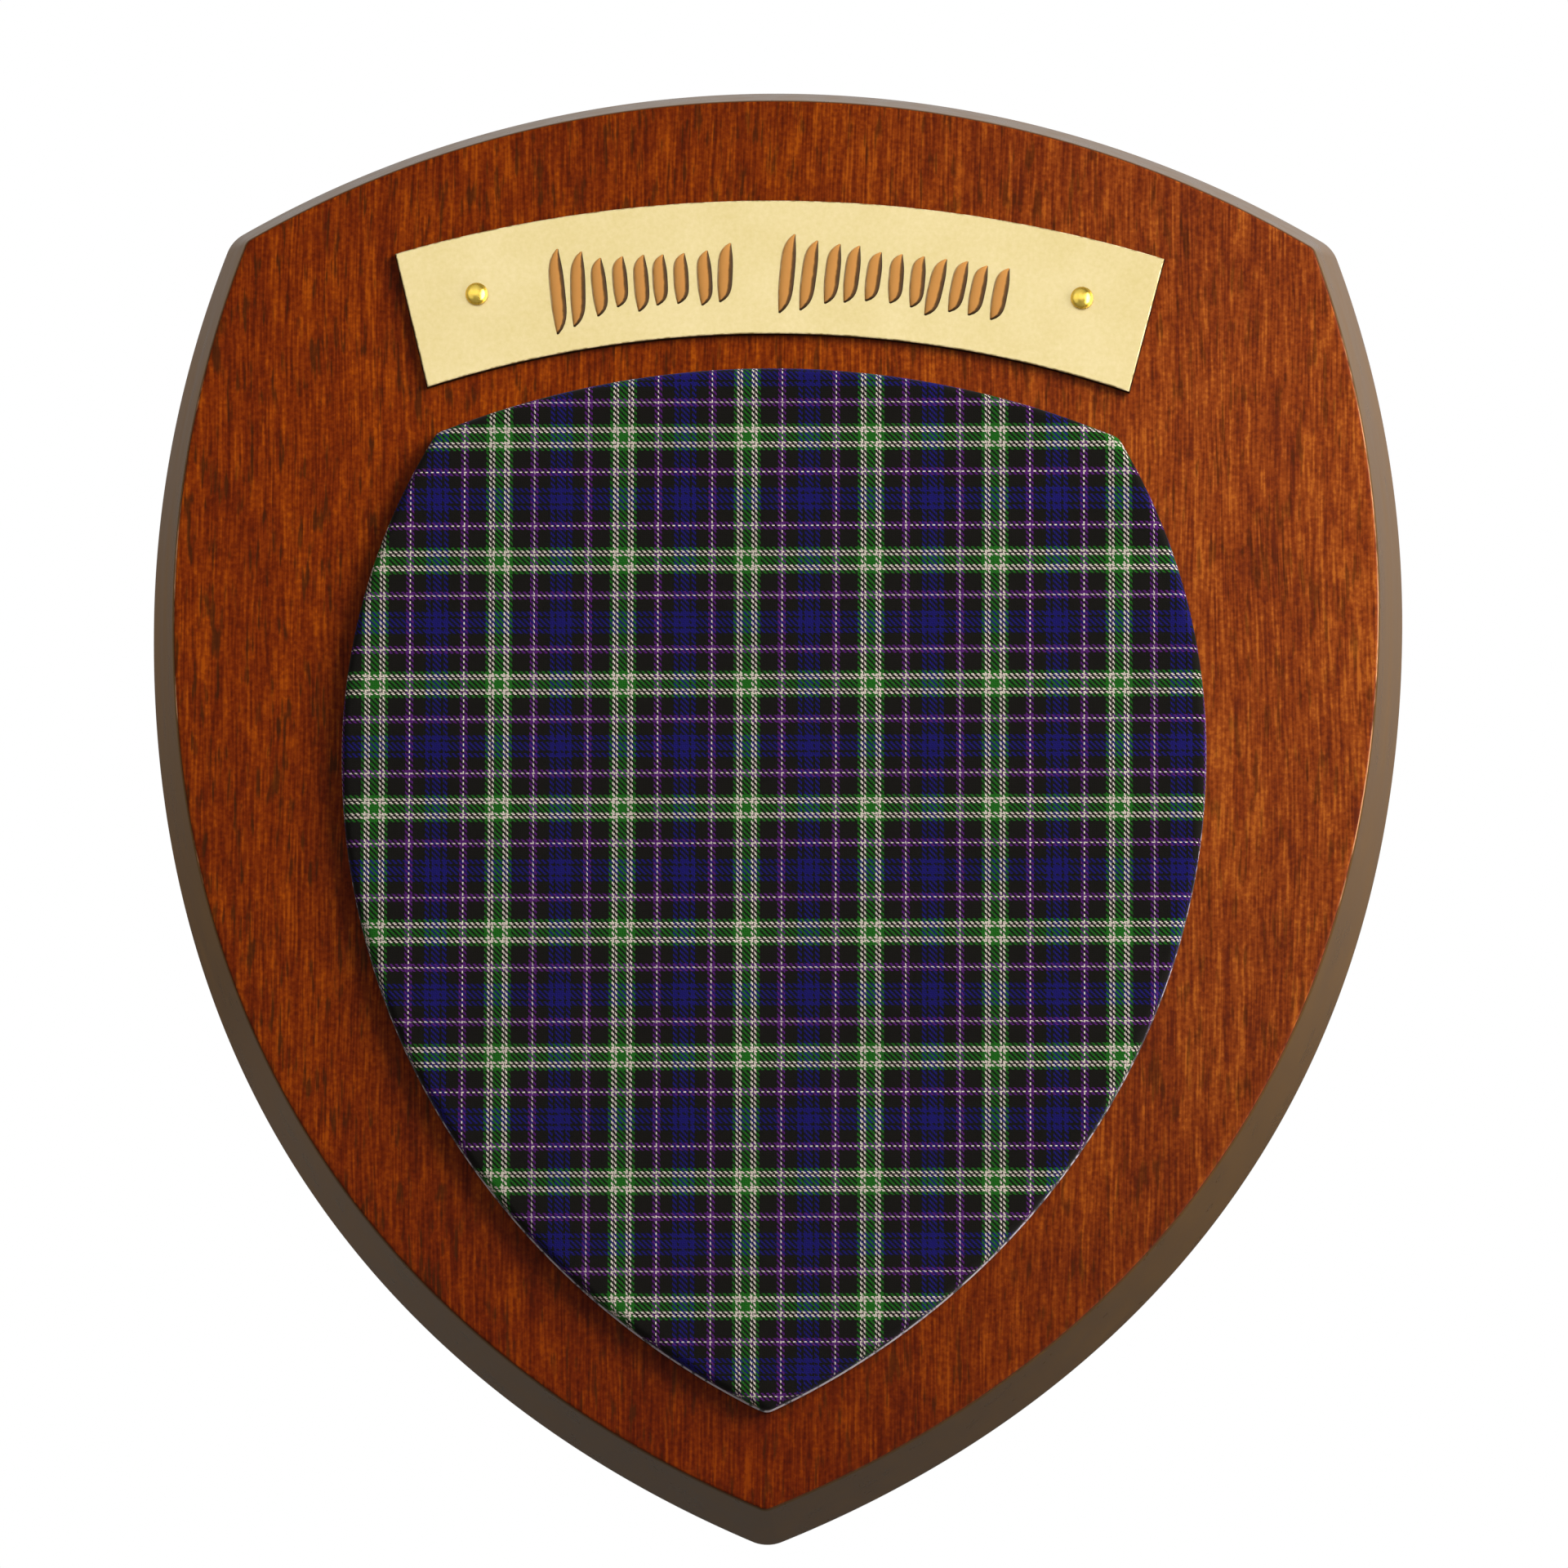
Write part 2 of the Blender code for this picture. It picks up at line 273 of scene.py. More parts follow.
# Satin mahogany veneer: fine upright fibres under a thin matt lacquer, red-brown with darker streaks, and
# olive-dark patches where the stain has soaked in. Painted shade is in its colour too: darker and redder to
# the left, at the tip and at the top, and paler to the right, as the lamp's light falls off.
def mahogany_veneer():
    material, tree, shader = start_material("mahogany_veneer_satin")
    place = in_mm(tree)
    wander = grain(tree, place, 30.0, 90.0, 1.0)
    shift = add(tree, "ShaderNodeMath", {0: wander, 1: 5.0}, operation="MULTIPLY")
    bent = add(tree, "ShaderNodeVectorMath", {0: place, 1: add(tree, "ShaderNodeCombineXYZ", {"X": shift})},
               operation="ADD").outputs[0]
    band = grain(tree, bent, 12.0, 120.0, 2.0)
    figure = grain(tree, bent, 2.2, 10.0, 1.0)
    streak = grain(tree, bent, 1.5, 45.0, 1.0, 0.6)
    fibre = grain(tree, bent, 0.5, 28.0, 1.0, 0.6)
    hair = grain(tree, bent, 0.36, 5.0, 0.0)
    speckle = add(tree, "ShaderNodeTexNoise", {"Vector": place, "Scale": 1.5, "Detail": 1.0}).outputs["Fac"]
    tone = blend_of(tree, [(band, 0.2), (figure, 0.28), (streak, 0.28), (fibre, 0.36), (hair, 0.36),
                           (speckle, 0.38)])
    colour = add(tree, "ShaderNodeValToRGB", {"Fac": tone}, stops=[
        (0.30, linear("#5A210B")), (0.40, linear("#6E2B0C")), (0.50, linear("#80370F")),
        (0.60, linear("#944716")), (0.70, linear("#AE5D1C"))])
    # Painted light falloff: paler to the right, darker and redder to the left, darker at the tip and a little
    # at the top.
    sides = add(tree, "ShaderNodeSeparateXYZ", {0: place}).outputs
    across = add(tree, "ShaderNodeMapRange", {"Value": sides["X"], "From Min": -90.0, "From Max": 90.0})
    painted_side_falloff = add(tree, "ShaderNodeValToRGB", {"Fac": across}, stops=[
        (0.0, (0.8, 0.56, 0.08, 1.0)), (0.5, (0.84, 0.65, 0.12, 1.0)), (0.9, (0.96, 0.94, 0.92, 1.0))])
    down = add(tree, "ShaderNodeMapRange", {"Value": sides["Z"], "From Min": -194.0, "From Max": 60.0})
    painted_end_shade = add(tree, "ShaderNodeValToRGB", {"Fac": down}, stops=[
        (0.0, (0.6, 0.43, 0.1, 1.0)), (0.35, (0.86, 0.84, 0.8, 1.0)), (0.78, (1.0, 1.0, 1.0, 1.0)),
        (1.0, (0.78, 0.72, 0.8, 1.0))])
    tinted_with_painted_shade = add(tree, "ShaderNodeMix", {"Factor": 1.0, "A": painted_side_falloff, "B": painted_end_shade}, data_type="RGBA",
               blend_type="MULTIPLY")
    shaded = add(tree, "ShaderNodeMix", {"Factor": 1.0, "A": colour, "B": tinted_with_painted_shade.outputs["Result"]},
                 data_type="RGBA", blend_type="MULTIPLY")
    # The stain sits darkest in the pores and in short open veins, and most of all where it has soaked in.
    soaked = grain(tree, place, 4.0, 8.0, 2.0, 0.6)
    vein = grain(tree, bent, 1.0, 7.0, 1.0)
    pore = grain(tree, bent, 0.4, 5.0, 1.0)
    deepest = add(tree, "ShaderNodeMapRange", {"Value": across, "To Min": 0.75, "To Max": 0.5})
    depth = blend_of(tree, [(soaked, 0.7), (vein, 0.8), (pore, 0.45)])
    dark = add(tree, "ShaderNodeMapRange", {"Value": depth, "From Min": 0.57, "From Max": 0.7,
                                            "To Max": deepest})
    stained = add(tree, "ShaderNodeMix", {"Factor": dark, "A": shaded.outputs["Result"],
                                          "B": linear("#331803")}, data_type="RGBA")
    tree.links.new(stained.outputs["Result"], shader.inputs["Base Color"])
    rough = add(tree, "ShaderNodeMapRange", {"Value": tone, "From Min": 0.3, "From Max": 0.7, "To Min": 0.5,
                                             "To Max": 0.38})
    tree.links.new(rough.outputs[0], shader.inputs["Roughness"])
    relief = add(tree, "ShaderNodeMath", {0: fibre, 1: dark}, operation="SUBTRACT")
    bump = add(tree, "ShaderNodeBump", {"Height": relief, "Strength": 0.25, "Distance": 0.00006})
    tree.links.new(bump.outputs[0], shader.inputs["Normal"])
    shader.inputs["Specular IOR Level"].default_value = 0.04
    return material


# Dark brown lacquer on the sanded edge: smooth and glossy, so at a low angle it mirrors pale surroundings.
def edge_lacquer():
    material, tree, shader = start_material("dark_brown_edge_lacquer")
    place = in_mm(tree)
    streak = grain(tree, place, 5.0, 45.0, 3.0, 0.6)
    fibre = grain(tree, place, 0.8, 9.0, 2.0, 0.6)
    tone = blend_of(tree, [(streak, 0.6), (fibre, 0.1)])
    colour = add(tree, "ShaderNodeValToRGB", {"Fac": tone}, stops=[
        (0.3, linear("#4D330F")), (0.5, linear("#563A12")), (0.7, linear("#5F4116"))])
    tree.links.new(colour.outputs[0], shader.inputs["Base Color"])
    rough = add(tree, "ShaderNodeMapRange", {"Value": streak, "From Min": 0.3, "From Max": 0.7,
                                             "To Min": 0.26, "To Max": 0.34})
    tree.links.new(rough.outputs[0], shader.inputs["Roughness"])
    bump = add(tree, "ShaderNodeBump", {"Height": fibre, "Strength": 0.06, "Distance": 0.00004})
    tree.links.new(bump.outputs[0], shader.inputs["Normal"])
    shader.inputs["Specular IOR Level"].default_value = 0.26
    return material


# Pale line painted along the front arris as a painted highlight of the lamp on the right: along the middle of
# the sides, stronger on the right, and broken up by noise.
def arris_highlight_paint():
    material, tree, shader = start_material("painted_arris_highlight")
    place = in_mm(tree)
    sides = add(tree, "ShaderNodeSeparateXYZ", {0: place}).outputs
    arris_noise = add(tree, "ShaderNodeTexNoise", {"Vector": place, "Scale": 0.1, "Detail": 4.0, "Roughness": 0.6})
    low = add(tree, "ShaderNodeMapRange", {"Value": sides["Z"], "From Min": -130.0, "From Max": -70.0,
                                           "To Min": -0.3, "To Max": 0.0})
    high = add(tree, "ShaderNodeMapRange", {"Value": sides["Z"], "From Min": 0.0, "From Max": 30.0,
                                            "To Max": -0.3})
    right = add(tree, "ShaderNodeMapRange", {"Value": sides["X"], "From Min": -90.0, "From Max": 90.0,
                                             "To Min": -0.05, "To Max": 0.04})
    # The painted highlight's share along the arris: noise, less low down and high up, more to the right.
    highlight_share = arris_noise
    for share in (low, high, right):
        highlight_share = add(tree, "ShaderNodeMath", {0: highlight_share, 1: share}, operation="ADD")
    colour = add(tree, "ShaderNodeValToRGB", {"Fac": highlight_share}, stops=[
        (0.46, linear("#4A260E")), (0.6, linear("#B9825A"))])
    tree.links.new(colour.outputs[0], shader.inputs["Base Color"])
    bump = add(tree, "ShaderNodeBump", {"Height": arris_noise, "Strength": 0.2, "Distance": 0.00005})
    tree.links.new(bump.outputs[0], shader.inputs["Normal"])
    shader.inputs["Roughness"].default_value = 0.8
    shader.inputs["Specular IOR Level"].default_value = 0.1
    return material


# Stained board on the back: the same brown stain, rubbed thin and matt, with the board's own coarse grain.
def stained_back():
    material, tree, shader = start_material("stained_board_back")
    place = in_mm(tree)
    band = grain(tree, place, 16.0, 160.0, 2.0)
    streak = grain(tree, place, 2.5, 50.0, 3.0, 0.6)
    fibre = grain(tree, place, 0.7, 9.0, 2.0, 0.6)
    tone = blend_of(tree, [(band, 0.5), (streak, 0.6), (fibre, 0.4)])
    colour = add(tree, "ShaderNodeValToRGB", {"Fac": tone}, stops=[
        (0.3, linear("#3A2212")), (0.5, linear("#573620")), (0.7, linear("#6F4A2E"))])
    tree.links.new(colour.outputs[0], shader.inputs["Base Color"])
    bump = add(tree, "ShaderNodeBump", {"Height": tone, "Strength": 0.3, "Distance": 0.0001})
    tree.links.new(bump.outputs[0], shader.inputs["Normal"])
    shader.inputs["Roughness"].default_value = 0.62
    return material


def round_outline(x, z, radius, count=48):
    """Circle that runs clockwise, as every outline here does."""
    turns = [-2.0 * math.pi * k / count for k in range(count)]
    return [Vector((x + radius * math.cos(t), z + radius * math.sin(t))) for t in turns]


def slot_outline(radius):
    """Straight slot with round ends, from the origin down by the keyhole's travel."""
    top, low = Vector((0.0, 0.0)), Vector((0.0, -KEYHOLE_TRAVEL))
    return arc(top, radius, math.pi, 0.0, KEYHOLE_STEP) + arc(low, radius, 0.0, -math.pi, KEYHOLE_STEP)


def cutter(name, outline, back_y, front_y, materials=(), slot=0):
    return solid(name, outline, [(0.0, back_y), (0.0, front_y)], materials, [slot, slot, slot])


PIN_SIDE = 52.25
PIN_DROP = 39.0
PIN_PLACES = {"left_pin": Vector((-PIN_SIDE, BOARD_TOP_Z - PIN_DROP)),
              "right_pin": Vector((PIN_SIDE, BOARD_TOP_Z - PIN_DROP))}

board_outline = shield(BOARD_TOP_Z, **BOARD_SHAPE)
# The taper leans in by EDGE_RUN from the land to the front face, and both ends of it are eased. Rings close
# to its ends keep the easing out of its flat middle.
board_profile = [(BACK_FLAT, 0.0)] + rounded(0.0, 0.0, 1.0, -1.0, BACK_ARRIS, 3)
board_profile.append((0.0, -BOARD_LAND))
taper_end = 1.0 - FRONT_ARRIS / BOARD_DEPTH
for share in (TAPER_MARGIN, taper_end - TAPER_MARGIN, taper_end):
    board_profile.append((EDGE_RUN * share, -BOARD_LAND - (BOARD_DEPTH - BOARD_LAND) * share))
lacquered = len(board_profile)
board_profile += [(EDGE_RUN + inwards, -BOARD_DEPTH + back) for inwards, back in FRONT_EASING]
# The fourth slot is the arris's painted highlight.
VENEER, LACQUER, BACK, ARRIS_HIGHLIGHT = range(4)
board_slots = ([BACK, BACK] + [LACQUER] * (lacquered - 1) + [ARRIS_HIGHLIGHT]
               + [VENEER] * (len(board_profile) - lacquered - 1))
board = solid("backboard_dressed", board_outline, board_profile,
              [mahogany_veneer(), edge_lacquer(), stained_back(), arris_highlight_paint()], board_slots)
routed = (board.data.materials, BACK)
board_cutters = [
    cutter("keyhole_entry", round_outline(0.0, -KEYHOLE_TRAVEL, KEYHOLE_ENTRY_RADIUS), CUT_PAST,
           -KEYHOLE_DEPTH, *routed),
    cutter("keyhole_neck", slot_outline(KEYHOLE_NECK_RADIUS), CUT_PAST, -KEYHOLE_LIP - KEYHOLE_OVERLAP,
           *routed),
    cutter("keyhole_undercut", slot_outline(KEYHOLE_ENTRY_RADIUS), -KEYHOLE_LIP, -KEYHOLE_DEPTH, *routed)]
for name, place in PIN_PLACES.items():
    board_cutters.append(cutter(f"{name}_hole",
                                round_outline(place.x, place.y, PIN_HOLE_RADIUS, PIN_HOLE_STEPS),
                                PIN_HOLE_END_Y, -BOARD_DEPTH - CUT_PAST))
cut_and_smooth(board, board_cutters, BOARD_SMOOTH_ANGLE)
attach(board, BODY)
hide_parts("backboard")

# Tartan panel.
# A stiff shield with woollen tartan drawn over its face and rounded edge and glued behind. The thin bare
# pasteboard under it shows as a broken pale line round the tip.
ONTO_BOARD_Y = -15.3
PANEL_DEPTH = 3.0
PANEL_ROUND = 1.4
PANEL_ROUND_STEPS = 8
PANEL_FLAT = 1.0
PANEL_TOP_Z = 8.2
PANEL_SHAPE = dict(half_width=74.3, crown_radius=152.3, side_radius=107.1, widest_drop=67.3, tip_drop=181.0,
                   tip_radius=2.6, tip_angle=math.radians(64.2), side_handle=49.9, tip_handle=47.5,
                   shoulder_radius=2.6)
RIM_DEPTH = 0.5
RIM_REACH = 0.02
RIM_EASING = 0.05
RIM_SHIFT = (0.0, 0.0, -0.28)
PANEL_SMOOTH_ANGLE = 50.0

# The sett from the middle of the green band to the middle of the blue one, in threads. It is mirrored at
# both ends, so a repeat is twice as long.
SETT = [("green", 4), ("white", 2), ("maroon", 1), ("white", 2), ("green", 3), ("black", 16), ("purple", 3),
        ("white", 1), ("purple", 3), ("black", 11), ("blue", 4), ("black", 2), ("blue", 4)]
WOOL = {"green": "#1C6216", "white": "#DDD0C2", "maroon": "#200E0E", "black": "#100E0A", "purple": "#541C6A",
        "blue": "#171262"}
HALF_SETT = sum(threads for colour, threads in SETT)
WARP_REPEAT = 21.33
WEFT_REPEAT = 21.6
TWILL_COARSER = 1.25
GREEN_CROSSING = (-4.54, -68.90)
CLOTH_TURN = math.radians(0.55)


# Woollen tartan in 2/2 twill: soft and matt, each thread a tiny ridge with painted shade on its colour, so
# the bands look hatched. The stripes are of the real width, but the threads of 0.19 mm are too fine to show,
# so the twill is drawn coarser.
def tartan_wool():
    material, tree, shader = start_material("tartan_wool_twill")
    flat = in_mm(tree, "UV")
    placed = add(tree, "ShaderNodeMapping", {
        "Vector": flat, "Location": (*GREEN_CROSSING, 0.0), "Rotation": (0.0, 0.0, CLOTH_TURN),
        "Scale": (WARP_REPEAT / (2 * HALF_SETT), WEFT_REPEAT / (2 * HALF_SETT), 1.0)}, vector_type="TEXTURE")
    stripes = add(tree, "ShaderNodeSeparateXYZ", {0: placed})
    coarse = add(tree, "ShaderNodeVectorMath", {0: placed, "Scale": 1.0 / TWILL_COARSER}, operation="SCALE")
    threads = add(tree, "ShaderNodeSeparateXYZ", {0: coarse})
    stops = []
    start = 0
    for colour, count in SETT:
        stops.append((start / HALF_SETT, linear(WOOL[colour])))
        start += count
    colours = []
    numbers = []
    for axis in ("X", "Y"):
        numbers.append(add(tree, "ShaderNodeMath", {0: threads.outputs[axis]}, operation="FLOOR"))
        folded = add(tree, "ShaderNodeMath", {0: stripes.outputs[axis], 1: float(HALF_SETT)},
                     operation="PINGPONG")
        share = add(tree, "ShaderNodeMath", {0: folded, 1: float(HALF_SETT)}, operation="DIVIDE")
        ramp = add(tree, "ShaderNodeValToRGB", {"Fac": share}, stops=stops)
        ramp.color_ramp.interpolation = "CONSTANT"
        colours.append(ramp.outputs[0])
    # Over two, under two, one thread further along in each row.
    step = add(tree, "ShaderNodeMath", {0: numbers[0], 1: numbers[1]}, operation="ADD")
    phase = add(tree, "ShaderNodeMath", {0: step, 1: 4.0}, operation="FLOORED_MODULO")
    warp_over = add(tree, "ShaderNodeMath", {0: phase, 1: 1.5}, operation="LESS_THAN")
    woven = add(tree, "ShaderNodeMix", {"Factor": warp_over, "A": colours[1], "B": colours[0]},
                data_type="RGBA")
    # Painted shade on each thread: its colour is brightest in the middle and dark between threads and at both
    # ends of its float, as if it were round; the same profile drives the bump.
    within = [add(tree, "ShaderNodeMath", {0: threads.outputs[axis]}, operation="FRACT").outputs[0]
              for axis in ("X", "Y")]
    beside = add(tree, "ShaderNodeMix", {"Factor": warp_over, 2: within[1], 3: within[0]})
    ahead = add(tree, "ShaderNodeMix", {"Factor": warp_over, 2: within[0], 3: within[1]})
    passed = add(tree, "ShaderNodeMath", {0: phase, 1: 2.0}, operation="FLOORED_MODULO")
    ahead = add(tree, "ShaderNodeMath", {0: passed, 1: ahead}, operation="ADD")
    ahead = add(tree, "ShaderNodeMath", {0: ahead, 1: 0.5}, operation="MULTIPLY")
    height = None
    for share, power, loss in ((beside, 2.0, 0.7), (ahead, 4.0, 0.5)):
        off_middle = add(tree, "ShaderNodeMath", {0: share, 1: 2.0, 2: -1.0}, operation="MULTIPLY_ADD")
        off_middle = add(tree, "ShaderNodeMath", {0: off_middle}, operation="ABSOLUTE")
        drop = add(tree, "ShaderNodeMath", {0: off_middle, 1: power}, operation="POWER")
        part = add(tree, "ShaderNodeMath", {0: drop, 1: -loss, 2: 1.0}, operation="MULTIPLY_ADD")
        height = part if height is None else add(tree, "ShaderNodeMath", {0: height, 1: part},
                                                 operation="MULTIPLY")
    # Wool takes the dye unevenly from thread to thread and from place to place.
    uneven = add(tree, "ShaderNodeTexNoise", {"Vector": placed, "Scale": 0.35, "Detail": 2.0})
    wide = add(tree, "ShaderNodeTexNoise", {"Vector": flat, "Scale": 0.06, "Detail": 1.0})
    shade = blend_of(tree, [(uneven.outputs["Fac"], 0.5), (wide.outputs["Fac"], 0.5)])
    value = add(tree, "ShaderNodeMapRange", {"Value": shade, "From Min": 0.3, "From Max": 0.7, "To Min": 0.86,
                                             "To Max": 1.14})
    # The thread's painted shade darkens the colour.
    value = add(tree, "ShaderNodeMath", {0: value, 1: height}, operation="MULTIPLY")
    tinted_with_painted_shade = add(tree, "ShaderNodeVectorMath", {0: woven.outputs["Result"], "Scale": value}, operation="SCALE")
    tree.links.new(tinted_with_painted_shade.outputs[0], shader.inputs["Base Color"])
    bump = add(tree, "ShaderNodeBump", {"Height": height, "Strength": 0.3, "Distance": 0.00008})
    tree.links.new(bump.outputs[0], shader.inputs["Normal"])
    shader.inputs["Roughness"].default_value = 0.85
    shader.inputs["Specular IOR Level"].default_value = 0.05
    shader.inputs["Sheen Weight"].default_value = 0.04
    shader.inputs["Sheen Roughness"].default_value = 0.5
    return material


# Bare grey pasteboard under the cloth: matt, with a slightly furry cut edge, pale round the tip and darker
# further up, where only specks of it are pale.
def pasteboard():
    material, tree, shader = start_material("grey_pasteboard_edge")
    place = in_mm(tree)
    fibre = add(tree, "ShaderNodeTexNoise", {"Vector": place, "Scale": 0.8, "Detail": 3.0})
    height = add(tree, "ShaderNodeSeparateXYZ", {0: place}).outputs["Z"]
    towards_tip = add(tree, "ShaderNodeMapRange", {"Value": height, "From Min": -165.0, "From Max": -110.0,
                                               "To Min": 0.12, "To Max": -0.06})
    pale_share = add(tree, "ShaderNodeMath", {0: fibre, 1: towards_tip}, operation="ADD")
    colour = add(tree, "ShaderNodeValToRGB", {"Fac": pale_share}, stops=[
        (0.46, linear("#2E272A")), (0.58, linear("#B9ADB0"))])
    tree.links.new(colour.outputs[0], shader.inputs["Base Color"])
    bump = add(tree, "ShaderNodeBump", {"Height": fibre.outputs["Fac"], "Strength": 0.3, "Distance": 0.00005})
    tree.links.new(bump.outputs[0], shader.inputs["Normal"])
    shader.inputs["Roughness"].default_value = 0.7
    return material


panel_outline = shield(PANEL_TOP_Z, **PANEL_SHAPE)
panel_front_y = ONTO_BOARD_Y - PANEL_DEPTH
rim_front_y = ONTO_BOARD_Y - RIM_DEPTH
panel_profile = [(PANEL_FLAT, ONTO_BOARD_Y), (-RIM_REACH + RIM_EASING, ONTO_BOARD_Y),
                 (-RIM_REACH, ONTO_BOARD_Y - RIM_EASING), (-RIM_REACH, rim_front_y + RIM_EASING),
                 (-RIM_REACH + RIM_EASING, rim_front_y), (0.0, rim_front_y)]
pasteboard_bands = len(panel_profile)
for k in range(PANEL_ROUND_STEPS + 1):
    turn = math.pi / 2.0 * k / PANEL_ROUND_STEPS
    panel_profile.append((PANEL_ROUND * (1.0 - math.cos(turn)),
                          panel_front_y + PANEL_ROUND * (1.0 - math.sin(turn))))
panel_profile.append((PANEL_ROUND + PANEL_FLAT, panel_front_y))
panel_slots = [1] * pasteboard_bands + [0] * (len(panel_profile) - pasteboard_bands + 1)
panel = solid("tartan_panel_dressed", panel_outline, panel_profile, [tartan_wool(), pasteboard()],
              panel_slots, weave=True)
# The pasteboard was stuck on a little low, so it shows along the lower sides and round the tip only.
for vertex in panel.data.vertices:
    if vertex.co.y > (rim_front_y + RIM_EASING / 2.0) * MM:
        vertex.co += Vector(RIM_SHIFT) * MM
cut_and_smooth(panel, [], PANEL_SMOOTH_ANGLE)
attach(panel, BODY)
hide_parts("tartan_panel")

# Name plate.
# A strip of 1 mm sheet brass cut to an arch, its face rubbed to a satin finish and its front edges eased,
# drilled at both ends and pinned down on the veneer.
PLATE_DEPTH = 1.0
PLATE_TOP_Z = 37.9
PLATE_HEIGHT = 23.4
PLATE_UPPER_RADIUS = 229.2
PLATE_LOWER_RADIUS = 191.5
PLATE_UPPER_HALF_WIDTH = 66.4
PLATE_LOWER_HALF_WIDTH = 60.5
PLATE_STEP = 1.5
PLATE_ARRIS = 0.2
ARRIS_BULGE = 0.3
PLATE_SLANT = 0.14
PLATE_FLAT = 0.06
PLATE_SMOOTH_ANGLE = 50.0
plate_front_y = ONTO_BOARD_Y - PLATE_DEPTH


# Satin brass: pale warm yellow, rubbed evenly so that it glows without mirroring, with faint mottling.
def satin_brass():
    material, tree, shader = start_material("satin_rubbed_brass")
    place = in_mm(tree)
    mottle = add(tree, "ShaderNodeTexNoise", {"Vector": place, "Scale": 1.1, "Detail": 3.0, "Roughness": 0.6})
    cloud = add(tree, "ShaderNodeTexNoise", {"Vector": place, "Scale": 0.09, "Detail": 2.0})
    tone = blend_of(tree, [(mottle.outputs["Fac"], 0.6), (cloud.outputs["Fac"], 0.5)])
    colour = add(tree, "ShaderNodeValToRGB", {"Fac": tone}, stops=[
        (0.3, linear("#C7B57E")), (0.7, linear("#D2C191"))])
    tree.links.new(colour.outputs[0], shader.inputs["Base Color"])
    rub = add(tree, "ShaderNodeTexNoise", {"Vector": place, "Scale": 9.0, "Detail": 2.0})
    rough = add(tree, "ShaderNodeMapRange", {"Value": rub.outputs["Fac"], "From Min": 0.3, "From Max": 0.7,
                                             "To Min": 0.34, "To Max": 0.42})
    tree.links.new(rough.outputs[0], shader.inputs["Roughness"])
    bump = add(tree, "ShaderNodeBump", {"Height": rub.outputs["Fac"], "Strength": 0.1, "Distance": 0.00002})
    tree.links.new(bump.outputs[0], shader.inputs["Normal"])
    shader.inputs["Metallic"].default_value = 1.0
    return material


# Edge of the brass, which slants out a little towards the board: painted nearly black as painted shade
# under the plate's edges, with faint marks.
def shaded_plate_edge():
    material, tree, shader = start_material("painted_shade_brass_edge")
    place = in_mm(tree)
    marks = add(tree, "ShaderNodeTexNoise", {"Vector": place, "Scale": 2.0, "Detail": 3.0})
    colour = add(tree, "ShaderNodeValToRGB", {"Fac": marks.outputs["Fac"]}, stops=[
        (0.35, linear("#120D06")), (0.65, linear("#30240F"))])
    tree.links.new(colour.outputs[0], shader.inputs["Base Color"])
    bump = add(tree, "ShaderNodeBump", {"Height": marks.outputs["Fac"], "Strength": 0.2, "Distance": 0.00003})
    tree.links.new(bump.outputs[0], shader.inputs["Normal"])
    shader.inputs["Metallic"].default_value = 1.0
    shader.inputs["Roughness"].default_value = 0.6
    return material


# Arris of the plate, rubbed bright: the rough paper has left it paler than the face, so it scatters more
# light.
def rubbed_arris():
    material, tree, shader = start_material("rubbed_bright_brass_arris")
    place = in_mm(tree)
    rub = add(tree, "ShaderNodeTexNoise", {"Vector": place, "Scale": 0.9, "Detail": 3.0})
    colour = add(tree, "ShaderNodeValToRGB", {"Fac": rub.outputs["Fac"]}, stops=[
        (0.35, linear("#97804C")), (0.6, linear("#D8C592"))])
    tree.links.new(colour.outputs[0], shader.inputs["Base Color"])
    bump = add(tree, "ShaderNodeBump", {"Height": rub.outputs["Fac"], "Strength": 0.2, "Distance": 0.00002})
    tree.links.new(bump.outputs[0], shader.inputs["Normal"])
    shader.inputs["Metallic"].default_value = 0.4
    shader.inputs["Roughness"].default_value = 0.55
    return material


up = math.pi / 2.0
upper_centre = Vector((0.0, PLATE_TOP_Z - PLATE_UPPER_RADIUS))
upper_turn = math.asin(PLATE_UPPER_HALF_WIDTH / PLATE_UPPER_RADIUS)
lower_centre = Vector((0.0, PLATE_TOP_Z - PLATE_HEIGHT - PLATE_LOWER_RADIUS))
lower_turn = math.asin(PLATE_LOWER_HALF_WIDTH / PLATE_LOWER_RADIUS)
plate_outline = arc(upper_centre, PLATE_UPPER_RADIUS, up + upper_turn, up - upper_turn, PLATE_STEP)
plate_outline += arc(lower_centre, PLATE_LOWER_RADIUS, up - lower_turn, up + lower_turn, PLATE_STEP)
plate_profile = [(-PLATE_SLANT, ONTO_BOARD_Y), (0.0, plate_front_y + PLATE_ARRIS),
                 (PLATE_ARRIS * ARRIS_BULGE, plate_front_y + PLATE_ARRIS * ARRIS_BULGE),
                 (PLATE_ARRIS, plate_front_y), (PLATE_ARRIS + PLATE_FLAT, plate_front_y)]
# The plate's sides take the painted-shade edge, the arris the rubbed brass and the face the satin brass.
plate = solid("name_plate_dressed", plate_outline, plate_profile,
              [satin_brass(), shaded_plate_edge(), rubbed_arris()], [1, 1, 2, 2, 0, 0])
plate_cutters = []
for name, place in PIN_PLACES.items():
    plate_cutters.append(cutter(f"{name}_hole",
                                round_outline(place.x, place.y, PIN_HOLE_RADIUS, PIN_HOLE_STEPS),
                                ONTO_BOARD_Y + CUT_PAST, plate_front_y - CUT_PAST))
cut_and_smooth(plate, plate_cutters, PLATE_SMOOTH_ANGLE)
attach(plate, BODY)
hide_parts("name_plate")

